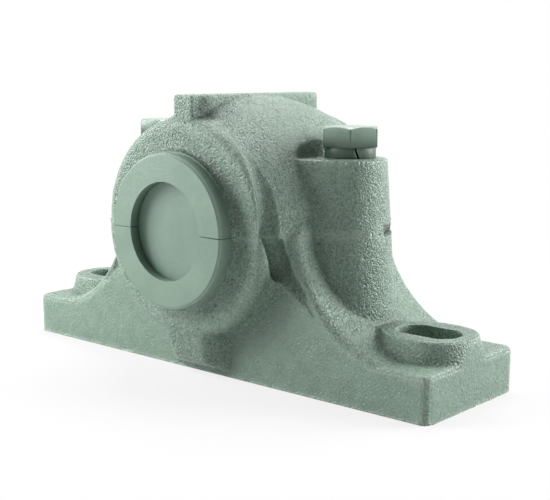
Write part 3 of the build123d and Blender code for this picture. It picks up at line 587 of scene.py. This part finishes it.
def mark_skin(piece):
    """Give each point its hollow and grit, and return how far the relaxing would lift it."""
    normals, lift = outward_moves(piece, relaxed_points(piece, MARK_ROUNDS))
    points, facing = points_of(piece.data), np.abs(normals)
    flat_sides = in_box(points, FOOT_SIDES) & (facing[:, 1] > FACING)
    flat_ends = in_box(points, FOOT_ENDS) & (facing[:, 0] > FACING)
    boss_tops = in_box(points, BOSS_TOPS) & (facing[:, 2] > BOSS_FACING)
    grit = np.where(flat_sides | flat_ends, SMOOTH_GRIT, 1.0)
    grit[boss_tops] = ROUGH_GRIT
    dust = np.where(boss_tops, BOSS_DUST, 0.0)
    keep_value(piece, "hollow", lift / MM + dust + rib_corner_shadow(points))
    keep_value(piece, "grit", grit)
    return lift / MM


for casting in castings.values():
    lift = mark_skin(casting)
    print(casting.name, "lift from", lift.min().round(2), "to", lift.max().round(2), "mm")

# %% [markdown]
# The halves were painted together, and the paint bridges the hair-fine split on the rough
# skin. The remeshed split edges are a little round, so the two split faces are let half a
# millimetre into each other, which closes the groove that the rounds would leave.

# %% Close the split on the cast skin
SPLIT_POINTS, SPLIT_OVERLAP = 0.45 * MM, 0.5 * MM
for node, casting in castings.items():
    points = points_of(casting.data)
    at_split = from_split(points) < SPLIT_POINTS
    points[at_split, 2] += SPLIT_OVERLAP if node == "housing_base" else -SPLIT_OVERLAP
    move_points(casting, points)
    print(casting.name, "split points moved:", int(at_split.sum()))

# %% [markdown]
# The cast skin isn't flat either: the sand gives a little as it is rammed. A Displace modifier
# with a cloud texture, 6 mm across and a third of a millimetre deep at most, moves the cast
# points inwards only, so the casting never grows past its solid. The outer seam along the
# split goes with them, or it would stand proud as a line. The net is then thinned where it is
# flat, which keeps the piece light.

# %% Ripple the cast skin and thin the net
RIPPLE_WIDTH, RIPPLE_DEPTH = 6 * MM, 0.35 * MM
SEAM_FROM = 51 * MM
MOST_TRIANGLES = 170000
sand_ripple = bpy.data.textures.new("sand_ripple", "CLOUDS")
sand_ripple.noise_scale = RIPPLE_WIDTH
sand_ripple.noise_depth = 2
for casting in castings.values():
    points = points_of(casting.data)
    seam = (from_split(points) < LEVEL_REACH) & (from_axis(points) > SEAM_FROM)
    seam &= from_bolts(points) > BOLT_HOLE_REACH
    rippled = np.nonzero(~machined_points(points) | seam)[0].tolist()
    casting.vertex_groups.new(name="cast").add(rippled, 1.0, "REPLACE")
    add_and_apply(casting, "DISPLACE", texture=sand_ripple, strength=RIPPLE_DEPTH,
                  mid_level=1.0, vertex_group="cast", texture_coords="LOCAL")
    triangles = sum(len(face.vertices) - 2 for face in casting.data.polygons)
    if triangles > MOST_TRIANGLES:
        add_and_apply(casting, "DECIMATE", decimate_type="COLLAPSE",
                      ratio=MOST_TRIANGLES / triangles)
    casting.vertex_groups.clear()
    print(casting.name, "has", len(casting.data.polygons), "faces")

# %% [markdown]
# A lever that starts the cap off its dowels goes into a wedge-shaped notch at the split of
# each pillar. The net is too coarse for it, so it is cut now: a cube is squeezed to a wedge,
# turned towards the rear as the solid's notch is, and taken away from the cap with a Boolean.

# %% Cut the pry notches
NOTCH_TURN = math.radians(35)
NOTCH_OUT = 20 * MM
WEDGE_SIZE = (10 * MM, 21 * MM, 8 * MM)
WEDGE_MOUTH, WEDGE_SINK = 8.6 * MM, 1.5 * MM


def pry_wedge(side):
    """A wedge that bites into the pillar's side, thin end inwards, its floor on the split."""
    bpy.ops.object.select_all(action="DESELECT")
    bpy.ops.mesh.primitive_cube_add(size=1, location=(side * (bolt_x + NOTCH_OUT), 0, axis_z))
    wedge = bpy.context.object
    wedge.name = "pry_wedge"
    wedge.scale = WEDGE_SIZE
    bpy.ops.object.transform_apply(location=True, rotation=False, scale=True)
    for point in wedge.data.vertices:
        thin_end = abs(point.co.x) < bolt_x + NOTCH_OUT
        top = 0.0 if thin_end else WEDGE_MOUTH
        point.co.z = axis_z + (top if point.co.z > axis_z else -WEDGE_SINK)
    bpy.ops.object.mode_set(mode="EDIT")
    bpy.ops.mesh.select_all(action="SELECT")
    bpy.ops.transform.rotate(value=-side * NOTCH_TURN, orient_axis="Z",
                             center_override=(side * bolt_x, 0, axis_z))
    bpy.ops.object.mode_set(mode="OBJECT")
    return wedge


cap = castings["housing_cap"]
for side in (-1, 1):
    wedge = pry_wedge(side)
    before = len(cap.data.vertices)
    add_and_apply(cap, "BOOLEAN", operation="DIFFERENCE", object=wedge, solver="EXACT")
    print("notch at", [round(v / MM, 1) for v in wedge.data.vertices[0].co], "new points:",
          len(cap.data.vertices) - before)
    bpy.data.objects.remove(wedge)

# %% [markdown]
# Remeshing rounds the collars, which were turned on a machine and are crisp. So each casting
# is cut off just behind its collar ends, and the same ends are cut from an untouched copy of
# the CAD mesh and joined on. Both cuts are filled, and they overlap by a hair. On the collars
# the split shows as a hairline, because the sharp edges of the split faces are broken with a
# file: their edges are bevelled, which leaves a fine groove between the halves.

# %% Put crisp turned ends on the castings
TURNED_FROM, OVERLAP = 52.4 * MM, 0.05 * MM
BROKEN_EDGE, ON_SPLIT = 0.3 * MM, 0.01 * MM


def cut_across(piece, y, keep_outer):
    """Cut a piece square to the shaft at y and keep one side, closing the cut."""
    select_only(piece)
    bpy.ops.object.mode_set(mode="EDIT")
    bpy.ops.mesh.select_all(action="SELECT")
    bpy.ops.mesh.bisect(plane_co=(0, y, axis_z), plane_no=(0, math.copysign(1, y), 0),
                        use_fill=True, clear_inner=keep_outer, clear_outer=not keep_outer)
    bpy.ops.object.mode_set(mode="OBJECT")


def break_split_edges(piece):
    """Bevel the sharp edges that lie on the split."""
    select_only(piece)
    bpy.ops.object.mode_set(mode="EDIT")
    bpy.ops.mesh.select_mode(type="EDGE")
    bpy.ops.mesh.select_all(action="DESELECT")
    bpy.ops.mesh.edges_select_sharp(sharpness=math.radians(40))
    bpy.ops.object.mode_set(mode="OBJECT")
    points = piece.data.vertices
    for edge in piece.data.edges:
        on_split = all(abs(points[index].co.z - axis_z) < ON_SPLIT for index in edge.vertices)
        edge.select = edge.select and on_split
    bpy.ops.object.mode_set(mode="EDIT")
    bpy.ops.mesh.bevel(offset=BROKEN_EDGE, segments=1, affect="EDGES")
    bpy.ops.object.mode_set(mode="OBJECT")


for node, casting in castings.items():
    ends = []
    for direction in (-1, 1):
        cut_across(casting, direction * (TURNED_FROM + OVERLAP), False)
        end = merged_copy(node, "turned_end")
        cut_across(end, direction * TURNED_FROM, True)
        break_split_edges(end)
        ends.append(end)
    select_only(casting)
    for end in ends:
        end.select_set(True)
    bpy.ops.object.join()
    bpy.ops.object.shade_smooth_by_angle(angle=math.radians(38))
    print(casting.name, "with its turned ends has", len(casting.data.polygons), "faces")

# %% [markdown]
# The turned ends have no hollow marks of their own, so they are given here: painted shade deep
# in the bore and in the pry notches, dirt in the hairline groove, and a painted highlight on the
# collar's outer edge, partly paint rubbed off, as it is the first thing a hand or a sling touches.

# %% Mark the turned ends and the notches
IN_BORE, BORE_MOUTH = 24.5 * MM, 58.5 * MM
OUTER_EDGE, END_FACE = 35.3 * MM, 57.6 * MM
GROOVE_FLOOR = 0.05 * MM
ROOT_REACH, ROOT_FROM, ROOT_SPLIT, ROOT_DIRT = 37 * MM, 49 * MM, 0.6 * MM, 1.4
NOTCH_FLOOR, NOTCH_HALF_WIDTH, NOTCH_RISE = 14.8 * MM, 10.6 * MM, 4.6 * MM


def in_pry_notches(points):
    """True for the points in and just round the mouths of the two notches."""
    out_x, y = np.abs(points[:, 0]) - bolt_x, points[:, 1]
    depth = out_x * math.cos(NOTCH_TURN) + y * math.sin(NOTCH_TURN)
    across = y * math.cos(NOTCH_TURN) - out_x * math.sin(NOTCH_TURN)
    rise = points[:, 2] - axis_z
    at_mouth = (depth > NOTCH_FLOOR) & (np.abs(across) < NOTCH_HALF_WIDTH)
    return at_mouth & (rise > -LEVEL_REACH) & (rise < NOTCH_RISE)


for casting in castings.values():
    points = points_of(casting.data)
    radius, y_far, off_split = from_axis(points), np.abs(points[:, 1]), from_split(points)
    hollow = np.zeros(len(points))
    casting.data.attributes["hollow"].data.foreach_get("value", hollow)
    turned = (y_far > TURNED_FROM - OVERLAP) & (radius < COLLAR_REACH)
    hollow[turned] = 0.0
    # Painted shade: the bore behind its mouth is painted fully dark.
    hollow[turned & (y_far < BORE_MOUTH) & (radius < IN_BORE)] = FULL_SHADE_AND_DIRT
    # Painted highlight and wear: the collar's outer edge is painted pale.
    hollow[turned & (y_far > END_FACE) & (radius > OUTER_EDGE)] = FULL_HIGHLIGHT_AND_RUB
    hollow[turned & (off_split < GROOVE_FLOOR)] = FULL_SHADE_AND_DIRT
    cast_root = ~turned & (y_far > ROOT_FROM) & (radius < ROOT_REACH)
    hollow[cast_root & (off_split < ROOT_SPLIT)] = ROOT_DIRT
    # Painted shade: the pry notches are painted fully dark.
    hollow[in_pry_notches(points)] = FULL_SHADE_AND_DIRT
    keep_value(casting, "hollow", hollow)
    print(casting.name, "marked points on the turned ends:", int(turned.sum()))

# %% [markdown]
# The castings get three finishes by face: bare iron inside the chamber, on the split and on
# the underside; smooth paint on the collars, in their bores and on the seats; sand-cast paint
# on the rest. A face counts as lying on the split only if it also looks straight up or down.

# %% Finish the castings
CAST, TURNED, BARE = 0, 1, 2
LEVEL = 0.97
TURNED_FACES_FROM, BORE_END = 52.75 * MM, 48 * MM
SPLIT_FACES, UNDERSIDE, HOLE_WALL = 0.8 * MM, 0.3 * MM, 8.9 * MM


def of_faces(mesh, what):
    """The centres or the normals of all faces, three numbers to a row."""
    flat = np.zeros(3 * len(mesh.polygons))
    mesh.polygons.foreach_get(what, flat)
    return flat.reshape(-1, 3)


for node, casting in castings.items():
    for finish in (sand_cast_paint, turned_paint, machined_iron):
        casting.data.materials.append(finish)
    centres = of_faces(casting.data, "center")
    level = np.abs(of_faces(casting.data, "normal")[:, 2]) > LEVEL
    radius, y_far = from_axis(centres), np.abs(centres[:, 1])
    by_face = np.full(len(centres), CAST, dtype=np.int32)
    by_face[(y_far > TURNED_FACES_FROM) & (radius < COLLAR_REACH)] = TURNED
    by_face[on_bolt_seats(centres)] = TURNED
    by_face[in_chamber(centres) | ((radius < BORE_REACH) & (y_far < BORE_END))] = BARE
    by_face[level & (from_split(centres) < SPLIT_FACES) & ~in_pry_notches(centres)] = BARE
    by_face[level & (centres[:, 2] < UNDERSIDE)] = BARE
    by_face[from_bolts(centres) < HOLE_WALL] = BARE
    casting.data.polygons.foreach_set("material_index", by_face)
    casting.data.update()
    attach(casting, "housing")
    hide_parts(node)
    print(casting.name, "faces by finish:", np.bincount(by_face).tolist())

# %% [markdown]
# ## Fasteners and the closing disc
# A CAD edge is perfectly sharp, and no real edge is. A forged and painted head has edges
# rounded to half a millimetre or more, and it is that round which catches the light. The bolt,
# its washer and the closing disc are copied, merged, bevelled along their sharp edges and
# shaded smooth by angle. The bolt's corners are marked like hollows, so they are painted darker,
# and the top of the head is marked like an edge and painted paler, a painted highlight. The
# washer's flat faces are painted darker, as painted shade where they meet the head and the seat,
# and its outer rim is drawn in a little, so that it stands back under the head.

# %% Ease the edges of the bolts and washers
HEAD_BEVEL, WASHER_BEVEL = 0.7 * MM, 0.3 * MM
HEAD_TOP = bolt_high.z - 0.9 * MM
CORNER_FROM = 13.6 * MM
RIM_FROM, RIM_SHARE = 11 * MM, 0.95
FLAT_DEPTH, FLAT_SHADE, SIDE_DARKENING = 0.35 * MM, 1.5, 0.15


def eased_copy(node, name, width):
    """A copy of a CAD node with its sharp edges rounded, in that node's place."""
    piece = merged_copy(node, name)
    add_and_apply(piece, "BEVEL", width=width, segments=2, limit_method="ANGLE",
                  angle_limit=math.radians(28), use_clamp_overlap=True, harden_normals=False)
    bpy.ops.object.shade_smooth_by_angle(angle=math.radians(32))
    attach(piece, "housing")
    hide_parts(node)
    return piece


for side in ("left", "right"):
    bolt = eased_copy("cap_bolt_" + side, "cap_bolt_eased_" + side, HEAD_BEVEL)
    bolt.data.materials.append(bolt_paint)
    points = points_of(bolt.data)
    # Painted highlight: the top of the head is painted pale. The hex corners are painted fully
    # dark.
    marks = np.where(points[:, 2] > HEAD_TOP, FULL_HIGHLIGHT_AND_RUB, 0.0)
    marks[(from_bolts(points) > CORNER_FROM) & (points[:, 2] < HEAD_TOP)] = FULL_SHADE_AND_DIRT
    keep_value(bolt, "hollow", marks)
    washer = eased_copy("spring_washer_" + side, "spring_washer_eased_" + side, WASHER_BEVEL)
    washer.data.materials.append(washer_paint)
    points = points_of(washer.data)
    middle = np.array((np.sign(points[:, 0].mean()) * bolt_x, 0.0))
    rim = from_bolts(points) > RIM_FROM
    points[rim, :2] = middle + (points[rim, :2] - middle) * RIM_SHARE
    move_points(washer, points)
    # Painted shade: the washer's flat faces, against the head and the seat, are painted dark, and
    # its side a little darker.
    heights = points[:, 2]
    flat = (heights < heights.min() + FLAT_DEPTH) | (heights > heights.max() - FLAT_DEPTH)
    keep_value(washer, "hollow", np.where(flat, FLAT_SHADE, SIDE_DARKENING))
    print(bolt.name, "has", len(bolt.data.polygons), "faces and its washer",
          len(washer.data.polygons))

# %% [markdown]
# The disc is eased in the same way, and its face is then inset, so that the rim of the face
# can be marked on its own: it is painted darker, as painted shade inside the recessed bore and
# as the dust that gathers in the joint where the disc sits in the collar's groove.

# %% Ease the closing disc and mark its rim
DISC_BEVEL, RIM_INSET, RIM_SHADE_AND_DUST = 0.35 * MM, 1.6 * MM, 1.2 * MM
disc = eased_copy("end_plug", "closing_disc", DISC_BEVEL)
bpy.ops.object.mode_set(mode="EDIT")
bpy.ops.mesh.select_mode(type="FACE")
bpy.ops.mesh.select_all(action="DESELECT")
bpy.ops.object.mode_set(mode="OBJECT")
for face in disc.data.polygons:
    face.select = face.normal.y < -0.99
bpy.ops.object.mode_set(mode="EDIT")
bpy.ops.mesh.inset(thickness=RIM_INSET, depth=0)
bpy.ops.object.mode_set(mode="OBJECT")
radius = from_axis(points_of(disc.data))
# Painted shade and dust: the rim of the disc's face is painted fully dark.
keep_value(disc, "hollow", np.where(radius > radius.max() - RIM_SHADE_AND_DUST, FULL_SHADE_AND_DIRT, 0.0))
disc.data.materials.append(disc_paint)
print("the closing disc has", len(disc.data.polygons), "faces")

# %% [markdown]
# ## Pieces inside
# The bearing, its sleeve and its nut keep their CAD meshes, because turned and ground parts
# are exactly such shapes. Each gets the finish of its real metal.

# %% Finishes of the inner pieces
finishes = {
    "outer_ring": ground_steel, "inner_ring": ground_steel, "ball_cage": cage_brass,
    "locating_ring_front": spacer_iron, "locating_ring_rear": spacer_iron,
    "adapter_sleeve": turned_steel, "lock_nut": oiled_steel, "lock_washer": turned_steel,
    "dowel_pin_left": ground_steel, "dowel_pin_right": ground_steel,
    "felt_strip_upper": felt, "felt_strip_lower": felt,
}
for node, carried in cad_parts.items():
    if node.startswith("ball_") and node != "ball_cage":
        finishes[node] = polished_steel
    if node in finishes:
        carried.data.materials.clear()
        carried.data.materials.append(finishes[node])
print("finished inner pieces:", len(finishes))

# %% [markdown]
# ## Floor, light and camera
# The block stands on a pale sheet of matt paper, as in a small studio. Seen directly, the
# paper glows a little and turns fully white further out, so that it has no edge, and near the
# block it still takes the soft shadow. To lamp light it is plain paper.

# %% Floor
def seen_directly(tree):
    """One for rays from the camera or off a mirror or through glass, and zero for others."""
    path = add_node(tree, "LightPath")
    mirrored = add_node(tree, "Math", {"operation": "MAXIMUM"},
                        i0=path.outputs["Is Camera Ray"], i1=path.outputs["Is Glossy Ray"])
    return add_node(tree, "Math", {"operation": "MAXIMUM"}, i0=mirrored.outputs[0],
                    i1=path.outputs["Is Transmission Ray"]).outputs[0]


WHITE = (1.0, 1.0, 1.0, 1.0)
bpy.ops.object.select_all(action="DESELECT")
bpy.ops.mesh.primitive_plane_add(size=6.0, location=(0, 0, 0))
floor = bpy.context.object
floor.name = "floor"
floor_paper, floor_tree, floor_shader, floor_place = start_material("matt_white_paper")
fibre = add_node(floor_tree, "TexNoise", {"Scale": 300.0, "Detail": 2.0}, Vector=floor_place)
paper_tone = add_node(floor_tree, "ValToRGB", {"ramp": ((0.0, "D6D6D6"), (1.0, "DCDCDC"))},
                      Fac=fibre.outputs["Fac"])
floor_tree.links.new(paper_tone.outputs["Color"], floor_shader.inputs["Base Color"])
floor_shader.inputs["Roughness"].default_value = 0.9
glow = add_node(floor_tree, "Emission", {"Color": WHITE, "Strength": 1.0})
from_block = add_node(floor_tree, "VectorMath", {"operation": "LENGTH"}, i0=floor_place)
whiteness = add_node(floor_tree, "MapRange", {"interpolation_type": "SMOOTHSTEP",
                                              "From Min": 0.16, "From Max": 0.5,
                                              "To Min": 0.78}, Value=from_block.outputs["Value"])
share = add_node(floor_tree, "Math", {"operation": "MULTIPLY"}, i0=whiteness.outputs[0],
                 i1=seen_directly(floor_tree))
floor_mix = add_node(floor_tree, "MixShader", None, i0=share.outputs[0],
                     i1=floor_shader.outputs[0], i2=glow.outputs[0])
floor_tree.links.new(floor_mix.outputs[0], floor_tree.nodes["Material Output"].inputs["Surface"])
floor.data.materials.append(floor_paper)
print("floor is", floor.dimensions.x, "m wide")

# %% [markdown]
# The room itself is white where it is seen and dim where it only lights, so that the lamps
# shape the block and the shadows stay open.

# %% World
world = bpy.data.worlds.new("studio")
bpy.context.scene.world = world
world.use_nodes = True
world_tree = world.node_tree
room = world_tree.nodes["Background"]
room.inputs["Color"].default_value = WHITE
room.inputs["Strength"].default_value = 0.07
white = add_node(world_tree, "Background", {"Color": WHITE, "Strength": 1.0})
pick = add_node(world_tree, "MixShader", None, i0=seen_directly(world_tree),
                i1=room.outputs[0], i2=white.outputs[0])
world_tree.links.new(pick.outputs[0], world_tree.nodes["World Output"].inputs["Surface"])
print("room light strength:", round(room.inputs["Strength"].default_value, 3))

# %% [markdown]
# Two large softboxes, one in front on the left and one behind on the right, draw a light edge
# down both sides of every round form and leave its middle darker, which is how products of
# painted iron are often lit. A third, high up behind, brightens what faces upwards.

# %% Lamps
def towards(azimuth, elevation, distance, centre):
    """A point seen from the centre at this bearing, 0 being the closed end's side."""
    a, e = math.radians(azimuth), math.radians(elevation)
    offset = Vector((math.sin(a) * math.cos(e), -math.cos(a) * math.cos(e), math.sin(e)))
    return Vector(centre) + distance * offset


def softbox(name, azimuth, elevation, distance, width, height, watts):
    """A rectangular lamp that faces the block."""
    centre = Vector((0, 0, axis_z))
    place = towards(azimuth, elevation, distance, centre)
    bpy.ops.object.light_add(type="AREA", location=place)
    lamp = bpy.context.object
    lamp.name = name
    lamp.data.shape = "RECTANGLE"
    lamp.data.size = width
    lamp.data.size_y = height
    lamp.data.energy = watts
    lamp.rotation_euler = (centre - place).to_track_quat("-Z", "Y").to_euler()
    print(name, "shines with", watts, "W")


softbox("left_softbox", azimuth=-52, elevation=24, distance=0.6, width=0.35, height=0.4,
        watts=4.8)
softbox("right_softbox", azimuth=136, elevation=22, distance=0.7, width=0.4, height=0.5,
        watts=6.6)
softbox("top_softbox", azimuth=215, elevation=62, distance=0.8, width=0.5, height=0.4,
        watts=4.8)

# %% [markdown]
# The camera stands low, in front and to the right of the closed end, with a long lens, as one
# stands back from a small product to keep its proportions.

# %% Camera
camera_data = bpy.data.cameras.new("camera")
camera = bpy.data.objects.new("camera", camera_data)
bpy.context.scene.collection.objects.link(camera)
view_back = towards(azimuth=41.33, elevation=9.34, distance=1, centre=(0, 0, 0))
camera.location = (0.3577, -0.3893, 0.1414)
camera.rotation_euler = (-view_back).to_track_quat("-Z", "Y").to_euler()
camera_data.sensor_width = 36.0
camera_data.lens = 70.8
camera_data.clip_start = 0.01
bpy.context.scene.camera = camera
bpy.context.scene.view_settings.view_transform = "Standard"
print("camera lens, mm:", round(camera_data.lens, 1))
